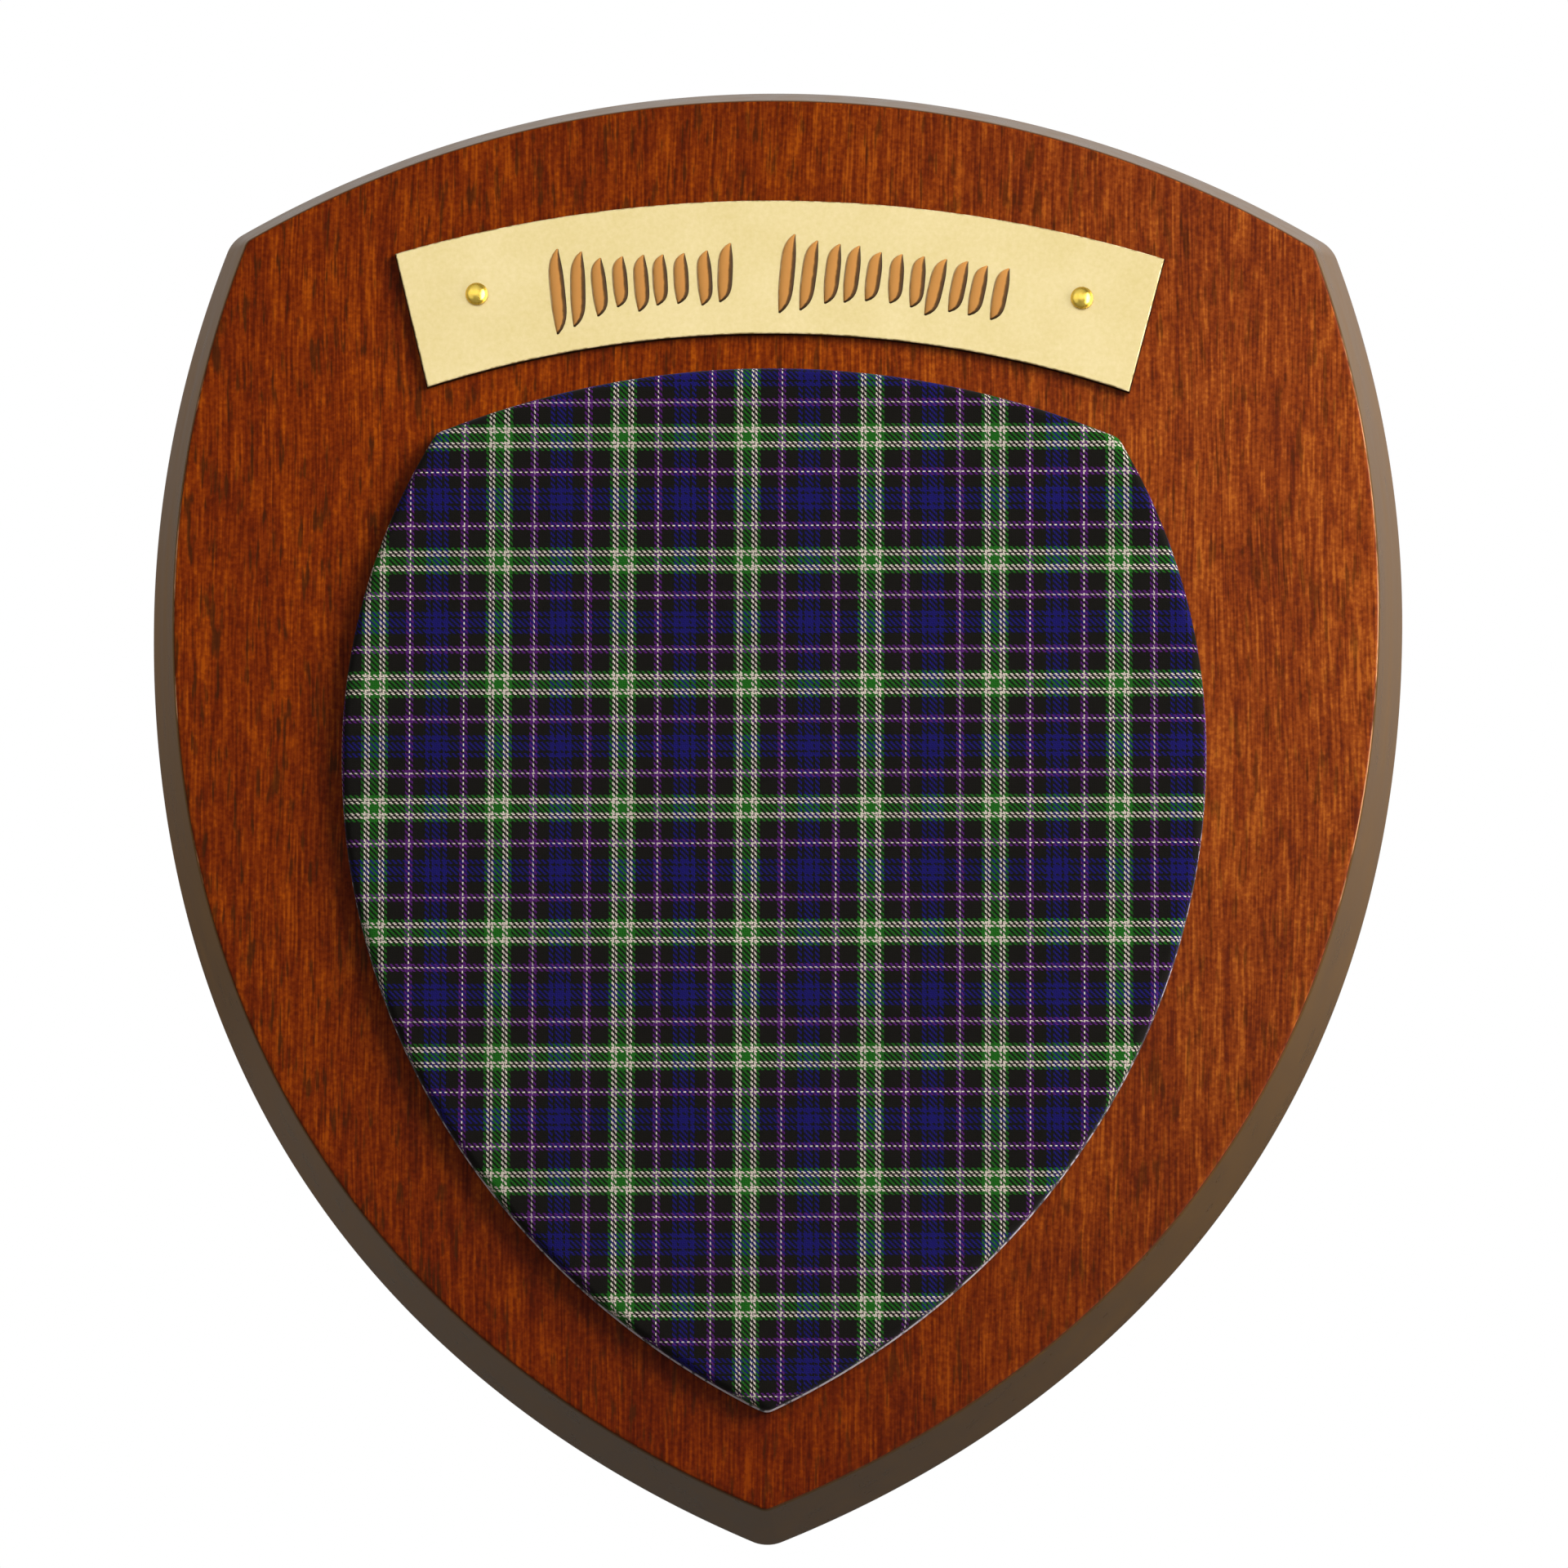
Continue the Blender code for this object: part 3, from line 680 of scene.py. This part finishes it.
# Inscription place.
# Two rows of slanted pen-like strokes that aren't letters, raised on the plate like thick copper-brown
# enamel. They follow the arch of the plate, and each row starts with taller ones.
STROKE_LIFT = 0.5
STROKE_WIDTH = 2.7
STROKE_BEND = 0.7
STROKE_RINGS = 16
STROKE_SIDES = 10
STROKE_SUNK = 0.05
STROKE_SMOOTH_ANGLE = 50.0
# How far the width and the lift fall off towards the ends of a stroke, and how late that starts.
WIDTH_LOSS, WIDTH_POWER = 0.88, 3.5
LIFT_LOSS, LIFT_POWER = 0.6, 6
ROUNDNESS = 0.7
# How much painted shade darkens the foot of each stroke, and how late that starts.
FOOT_DARK, FOOT_POWER = 0.8, 12
STROKE_LEAN = 0.16
TALL_STROKES = 2
ROW_CENTRE_Z = -186.3
ROW_RADIUS = 211.2
ROWS = [dict(Count=9, Start=-10.5, End=-2.6, Tall=15.0, Usual=10.0, Seed=3),
        dict(Count=11, Start=0.4, End=10.4, Tall=14.6, Usual=10.2, Seed=8)]


# Copper-brown enamel: smooth, softly glossy paint that stands up with rounded sides. Each stroke has a
# painted highlight, peach-pale, on its left, and painted shade, dark brown, along its right and its foot.
def copper_enamel():
    material, tree, shader = start_material("copper_brown_enamel")
    place = in_mm(tree)
    noise = add(tree, "ShaderNodeTexNoise", {"Vector": place, "Scale": 0.8, "Detail": 3.0})
    # The edge attribute carries painted light: low on a stroke's left for the painted highlight, high on its
    # right and foot for painted shade.
    edge = add(tree, "ShaderNodeAttribute", attribute_name="edge")
    depth = add(tree, "ShaderNodeMath", {0: noise, 1: 0.12, 2: edge.outputs["Fac"]}, operation="MULTIPLY_ADD")
    colour = add(tree, "ShaderNodeValToRGB", {"Fac": depth}, stops=[
        (0.09, linear("#F2D4A4")), (0.17, linear("#C88D4A")), (0.74, linear("#BE8344")),
        (0.84, linear("#54381A")), (1.0, linear("#2A1B0B"))])
    tree.links.new(colour.outputs[0], shader.inputs["Base Color"])
    ripple = add(tree, "ShaderNodeTexNoise", {"Vector": place, "Scale": 2.5, "Detail": 1.0})
    bump = add(tree, "ShaderNodeBump", {"Height": ripple, "Strength": 0.2, "Distance": 0.00005})
    tree.links.new(bump.outputs[0], shader.inputs["Normal"])
    shader.inputs["Roughness"].default_value = 0.4
    shader.inputs["Specular IOR Level"].default_value = 0.05
    return material


def stroke_template():
    """One upright stroke about the origin, 1 mm high: full in the middle, drawn out and bent at both ends."""
    verts, faces, painted_side_light = [], [], []
    for k in range(STROKE_RINGS + 1):
        u = 2.0 * k / STROKE_RINGS - 1.0
        half = STROKE_WIDTH / 2.0 * (1.0 - WIDTH_LOSS * abs(u) ** WIDTH_POWER)
        middle = STROKE_BEND * (u ** 5 - u)
        for j in range(STROKE_SIDES + 1):
            turn = math.pi * j / STROKE_SIDES
            rise = STROKE_LIFT * math.sin(turn) ** ROUNDNESS * (1.0 - LIFT_LOSS * abs(u) ** LIFT_POWER)
            verts.append(((middle + half * math.cos(turn)) * MM, (STROKE_SUNK - rise) * MM, u / 2.0 * MM))
            # Painted light for the enamel: 0 on the stroke's left for a painted highlight, 1 on its right and
            # near its foot for painted shade.
            foot_shade = FOOT_DARK * max(0.0, -u) ** FOOT_POWER
            painted_side_light.append(min(1.0, 0.5 + 0.5 * math.cos(turn) + foot_shade))
    count = STROKE_SIDES + 1
    for k in range(STROKE_RINGS):
        for j in range(count):
            low, after = k * count, (j + 1) % count
            faces.append((low + j, low + after, low + count + after, low + count + j))
    faces.append(tuple(range(count)))
    faces.append(tuple(STROKE_RINGS * count + j for j in reversed(range(count))))
    mesh = bpy.data.meshes.new("stroke")
    mesh.from_pydata(verts, [], faces)
    mesh.attributes.new("edge", "FLOAT", "POINT").data.foreach_set("value", painted_side_light)
    return mesh


def stroke_tree():
    """Geometry nodes: copies of the stroke along an arc, each with its own height, lean and place."""
    tree = bpy.data.node_groups.new("stroke_row", "GeometryNodeTree")
    for name, kind in (("Stroke", "Geometry"), ("Count", "Int"), ("Start", "Float"), ("End", "Float"),
                       ("Radius", "Float"), ("Centre Z", "Float"), ("Face Y", "Float"), ("Tall", "Float"),
                       ("Usual", "Float"), ("Lean", "Float"), ("Seed", "Int"), ("Material", "Material")):
        tree.interface.new_socket(name, in_out="INPUT", socket_type=f"NodeSocket{kind}")
    tree.interface.new_socket("Row", in_out="OUTPUT", socket_type="NodeSocketGeometry")
    given = add(tree, "NodeGroupInput").outputs
    chance = {}
    for salt, (name, low, high) in enumerate((("angle", -0.08, 0.08), ("height", 0.86, 1.06),
                                              ("lean", 0.5, 1.5), ("drop", -0.5, 0.5))):
        seed = add(tree, "ShaderNodeMath", {0: given["Seed"], 1: float(salt)}, operation="ADD")
        chance[name] = add(tree, "FunctionNodeRandomValue", {2: low, 3: high, "Seed": seed},
                           data_type="FLOAT").outputs[1]
    index = add(tree, "GeometryNodeInputIndex")
    last = add(tree, "ShaderNodeMath", {0: given["Count"], 1: 1.0}, operation="SUBTRACT")
    angle = add(tree, "ShaderNodeMapRange", {"Value": index, "From Max": last, "To Min": given["Start"],
                                             "To Max": given["End"]})
    angle = add(tree, "ShaderNodeMath", {0: angle, 1: chance["angle"]}, operation="ADD")
    angle = add(tree, "ShaderNodeMath", {0: angle}, operation="RADIANS")
    is_tall = add(tree, "ShaderNodeMath", {0: index, 1: TALL_STROKES - 0.5}, operation="LESS_THAN")
    height = add(tree, "ShaderNodeMix", {"Factor": is_tall, 2: given["Usual"], 3: given["Tall"]})
    height = add(tree, "ShaderNodeMath", {0: height, 1: chance["height"]}, operation="MULTIPLY")
    radius = add(tree, "ShaderNodeMath", {0: given["Radius"], 1: chance["drop"]}, operation="ADD")
    side = add(tree, "ShaderNodeMath", {0: angle}, operation="SINE")
    side = add(tree, "ShaderNodeMath", {0: side, 1: radius}, operation="MULTIPLY")
    rise = add(tree, "ShaderNodeMath", {0: angle}, operation="COSINE")
    rise = add(tree, "ShaderNodeMath", {0: rise, 1: radius, 2: given["Centre Z"]}, operation="MULTIPLY_ADD")
    place = add(tree, "ShaderNodeCombineXYZ", {"X": side, "Y": given["Face Y"], "Z": rise})
    place = add(tree, "ShaderNodeVectorMath", {0: place, "Scale": MM}, operation="SCALE")
    lean = add(tree, "ShaderNodeMath", {0: given["Lean"], 1: chance["lean"], 2: angle},
               operation="MULTIPLY_ADD")
    points = add(tree, "GeometryNodeMeshLine", {"Count": given["Count"]})
    points = add(tree, "GeometryNodeSetPosition", {"Geometry": points, "Position": place})
    copies = add(tree, "GeometryNodeInstanceOnPoints", {
        "Points": points, "Instance": given["Stroke"],
        "Rotation": add(tree, "ShaderNodeCombineXYZ", {"Y": lean}),
        "Scale": add(tree, "ShaderNodeCombineXYZ", {"X": 1.0, "Y": 1.0, "Z": height})})
    row = add(tree, "GeometryNodeRealizeInstances", {"Geometry": copies})
    row = add(tree, "GeometryNodeSetMaterial", {"Geometry": row, "Material": given["Material"]})
    add(tree, "NodeGroupOutput", {"Row": row})
    return tree


def grow(tree, base, **values):
    """Runs a geometry node tree on a mesh with the given inputs and gives the result as a plain mesh."""
    obj = bpy.data.objects.new(tree.name, base)
    bpy.context.scene.collection.objects.link(obj)
    modifier = obj.modifiers.new(tree.name, "NODES")
    modifier.node_group = tree
    for item in tree.interface.items_tree:
        if item.in_out == "INPUT" and item.name in values:
            modifier[item.identifier] = values[item.name]
    bpy.context.view_layer.update()
    mesh = bpy.data.meshes.new_from_object(obj.evaluated_get(bpy.context.evaluated_depsgraph_get()))
    obj.modifiers.clear()
    bpy.data.objects.remove(obj, do_unlink=True)
    return mesh


enamel = copper_enamel()
strokes = stroke_tree()
stroke = stroke_template()
joined = bmesh.new()
for row in ROWS:
    joined.from_mesh(grow(strokes, stroke, Radius=ROW_RADIUS, Lean=STROKE_LEAN, Material=enamel,
                          **{"Centre Z": ROW_CENTRE_Z, "Face Y": plate_front_y}, **row))
bmesh.ops.recalc_face_normals(joined, faces=joined.faces)
stroke_mesh = bpy.data.meshes.new("name_strokes")
joined.to_mesh(stroke_mesh)
joined.free()
stroke_mesh.materials.append(enamel)
stroke_mesh.shade_smooth()
stroke_mesh.set_sharp_from_angle(angle=math.radians(STROKE_SMOOTH_ANGLE))
name_strokes = bpy.data.objects.new("name_strokes", stroke_mesh)
bpy.context.scene.collection.objects.link(name_strokes)
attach(name_strokes, BODY)

# Pins.
# Two round-headed brass pins, polished, driven through the plate into the board.
PIN_HEAD_RADIUS = 1.95
PIN_HEAD_HEIGHT = 1.6
PIN_HEAD_RIM = 0.2
PIN_SHANK_RADIUS = 0.6
PIN_END_Y = -8.0
PIN_POINT = 1.2
PIN_EASING = 0.05
PIN_CROWN = 0.02
PIN_GAP = 0.3
DOME_STEPS = 14
PIN_SMOOTH_ANGLE = 40.0
head_back_y = plate_front_y - PIN_GAP


# Polished brass: deep gold, a little dulled by handling, so it mirrors the lights with soft outlines.
def polished_brass():
    material, tree, shader = start_material("polished_brass")
    place = in_mm(tree)
    noise = add(tree, "ShaderNodeTexNoise", {"Vector": place, "Scale": 1.5, "Detail": 2.0})
    colour = add(tree, "ShaderNodeValToRGB", {"Fac": noise.outputs["Fac"]}, stops=[
        (0.3, linear("#E4BF4C")), (0.7, linear("#EBCC60"))])
    tree.links.new(colour.outputs[0], shader.inputs["Base Color"])
    rough = add(tree, "ShaderNodeMapRange", {"Value": noise.outputs["Fac"], "From Min": 0.3, "From Max": 0.7,
                                             "To Min": 0.26, "To Max": 0.32})
    tree.links.new(rough.outputs[0], shader.inputs["Roughness"])
    shader.inputs["Metallic"].default_value = 1.0
    return material


pin_profile = [(PIN_HEAD_RADIUS - PIN_EASING, PIN_END_Y),
               (PIN_HEAD_RADIUS - PIN_SHANK_RADIUS, PIN_END_Y - PIN_POINT),
               (PIN_HEAD_RADIUS - PIN_SHANK_RADIUS, head_back_y), (PIN_EASING, head_back_y),
               (0.0, head_back_y - PIN_EASING)]
for k in range(DOME_STEPS):
    turn = math.pi / 2.0 * k / DOME_STEPS
    pin_profile.append((PIN_HEAD_RADIUS * (1.0 - math.cos(turn)),
                        head_back_y - PIN_HEAD_RIM - (PIN_HEAD_HEIGHT - PIN_HEAD_RIM) * math.sin(turn)))
pin_profile.append((PIN_HEAD_RADIUS - PIN_CROWN, head_back_y - PIN_HEAD_HEIGHT))
pin_brass = polished_brass()
for name, place in PIN_PLACES.items():
    pin = solid(f"{name}_dressed", round_outline(place.x, place.y, PIN_HEAD_RADIUS), pin_profile, [pin_brass],
                [0] * (len(pin_profile) + 1))
    cut_and_smooth(pin, [], PIN_SMOOTH_ANGLE)
    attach(pin, BODY)
    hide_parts(name)

# Studio.
# Plain white surroundings with a soft glow behind and above, a soft lamp up on the right, a second one
# behind on the left for the board's edge, a broad white screen in front that the brass shows with oval cards
# round it, and a pale floor far below.
FLOOR_Z = -4.2
FLOOR_SIZE = 80.0
FLOOR_GLOW = 0.4
FLOOR_COLOUR = linear("#F4F4F2")
WHITE = (1.0, 1.0, 1.0, 1.0)
CAMERA_DISTANCE = 3.0
CAMERA_AIM = Vector((0.0014, 0.0, -0.0616))
CAMERA_AZIMUTH = math.radians(-1.378)
CAMERA_ELEVATION = math.radians(-9.6)
CAMERA_ROLL = math.radians(-0.651)
CAMERA_LENS = 398.7
CAMERA_SENSOR = 36.0
CAMERA_REACH = 100.0
KEY_WAY = Vector((0.76, -0.47, 0.45)).normalized()
KEY_DISTANCE = 1.3
KEY_SIZE = 0.7
KEY_WATTS = 32.0
SCREEN_DISTANCE = 3.6
SCREEN_SIZE = 3.0
SCREEN_RADIANCE = 0.8
EDGE_WAY = Vector((-0.85, 0.22, 0.45)).normalized()
EDGE_DISTANCE = 1.5
EDGE_SIZE = 0.8
EDGE_WATTS = 18.0
CARDS = [("left_card", Vector((-0.78, -0.62, 0.02)).normalized(), 1.2, 1.7, 0.72),
         ("right_card", Vector((0.83, -0.55, -0.02)).normalized(), 0.95, 1.8, 9.5),
         ("low_card", Vector((-0.15, -0.82, -0.55)).normalized(), 1.7, 0.8, 0.12),
         ("high_card", Vector((-0.25, -0.5, 0.83)).normalized(), 1.7, 1.1, 0.3)]
CARD_DISTANCE = 1.2
AMBIENT = 0.05
GLOW_WAY = Vector((0.30, 0.75, 0.65)).normalized()
GLOW_STRENGTH = 0.85
GLOW_POWER = 3.0
GLOSSY_GLOW = (Vector((-0.45, -0.85, 0.15)).normalized(), 0.78)

floor_material, floor_tree, floor_shader = start_material("pale_floor")
floor_shader.inputs["Base Color"].default_value = FLOOR_COLOUR
floor_shader.inputs["Roughness"].default_value = 0.9
# It is too far off to be lit like the backdrop, so it glows a little where it is seen directly.
floor_seen = add(floor_tree, "ShaderNodeLightPath").outputs["Is Camera Ray"]
floor_glow = add(floor_tree, "ShaderNodeMath", {0: floor_seen, 1: FLOOR_GLOW}, operation="MULTIPLY")
floor_tree.links.new(floor_glow.outputs[0], floor_shader.inputs["Emission Strength"])
floor_shader.inputs["Emission Color"].default_value = FLOOR_COLOUR
floor_mesh = bpy.data.meshes.new("floor")
half = FLOOR_SIZE / 2.0
floor_mesh.from_pydata([(-half, -half, FLOOR_Z), (half, -half, FLOOR_Z), (half, half, FLOOR_Z),
                        (-half, half, FLOOR_Z)], [], [(0, 1, 2, 3)])
floor_mesh.materials.append(floor_material)
floor = bpy.data.objects.new("floor", floor_mesh)
bpy.context.scene.collection.objects.link(floor)

world = bpy.data.worlds.new("studio")
bpy.context.scene.world = world
world.use_nodes = True
sky = world.node_tree
sky.nodes.clear()
way = add(sky, "ShaderNodeTexCoord").outputs["Generated"]
facing = add(sky, "ShaderNodeVectorMath", {0: way, 1: GLOW_WAY}, operation="DOT_PRODUCT").outputs["Value"]
facing = add(sky, "ShaderNodeMath", {0: facing, 1: 0.0}, operation="MAXIMUM")
spread = add(sky, "ShaderNodeMath", {0: facing, 1: GLOW_POWER}, operation="POWER")
glow = add(sky, "ShaderNodeMath", {0: spread, 1: GLOW_STRENGTH, 2: AMBIENT}, operation="MULTIPLY_ADD")
# The glossy parts also mirror a pale wall in front, brightest on the left.
light_path = add(sky, "ShaderNodeLightPath").outputs
facing = add(sky, "ShaderNodeVectorMath", {0: way, 1: GLOSSY_GLOW[0]},
             operation="DOT_PRODUCT").outputs["Value"]
facing = add(sky, "ShaderNodeMath", {0: facing, 1: 0.0}, operation="MAXIMUM")
mirrored = add(sky, "ShaderNodeMath", {0: facing, 1: light_path["Is Glossy Ray"]}, operation="MULTIPLY")
glow = add(sky, "ShaderNodeMath", {0: mirrored, 1: GLOSSY_GLOW[1], 2: glow}, operation="MULTIPLY_ADD")
lighting = add(sky, "ShaderNodeBackground", {"Color": WHITE, "Strength": glow})
seen = add(sky, "ShaderNodeBackground", {"Color": WHITE, "Strength": 1.0})
both = add(sky, "ShaderNodeMixShader", {0: light_path["Is Camera Ray"], 1: lighting.outputs[0],
                                        2: seen.outputs[0]})
add(sky, "ShaderNodeOutputWorld", {"Surface": both.outputs[0]})


def lamp(name, way, distance, size, watts):
    light = bpy.data.lights.new(name, "AREA")
    light.shape = "SQUARE"
    light.size = size
    light.energy = watts
    obj = bpy.data.objects.new(name, light)
    obj.location = CAMERA_AIM + way * distance
    obj.rotation_euler = way.to_track_quat("Z", "Y").to_euler()
    bpy.context.scene.collection.objects.link(obj)
    return obj


forward = Vector((math.sin(CAMERA_AZIMUTH) * math.cos(CAMERA_ELEVATION),
                  math.cos(CAMERA_AZIMUTH) * math.cos(CAMERA_ELEVATION), -math.sin(CAMERA_ELEVATION)))
lamp("key", KEY_WAY, KEY_DISTANCE, KEY_SIZE, KEY_WATTS).visible_glossy = False
lamp("edge_light", EDGE_WAY, EDGE_DISTANCE, EDGE_SIZE, EDGE_WATTS).visible_glossy = False
# Four oval white cards that show in the glossy parts and give no other light.
for name, way, width, height, radiance in CARDS:
    card = lamp(name, way, CARD_DISTANCE, width, math.pi * (math.pi / 4.0 * width * height) * radiance)
    card.data.shape = "ELLIPSE"
    card.data.size_y = height
    card.visible_diffuse = False
screen_way = Vector((forward.x, -forward.y, forward.z))
lamp("screen", screen_way, SCREEN_DISTANCE, SCREEN_SIZE, math.pi * SCREEN_SIZE ** 2 * SCREEN_RADIANCE)

camera_data = bpy.data.cameras.new("camera")
camera_data.lens = CAMERA_LENS
camera_data.sensor_width = CAMERA_SENSOR
camera_data.clip_end = CAMERA_REACH
camera = bpy.data.objects.new("camera", camera_data)
right = Vector((math.cos(CAMERA_AZIMUTH), -math.sin(CAMERA_AZIMUTH), 0.0))
upward = right.cross(forward)
across = right * math.cos(CAMERA_ROLL) - upward * math.sin(CAMERA_ROLL)
over = right * math.sin(CAMERA_ROLL) + upward * math.cos(CAMERA_ROLL)
camera.matrix_world = Matrix.Translation(CAMERA_AIM - CAMERA_DISTANCE * forward) @ Matrix(
    (across, over, -forward)).transposed().to_4x4()
bpy.context.scene.collection.objects.link(camera)
bpy.context.scene.camera = camera
bpy.context.scene.view_settings.view_transform = "Standard"
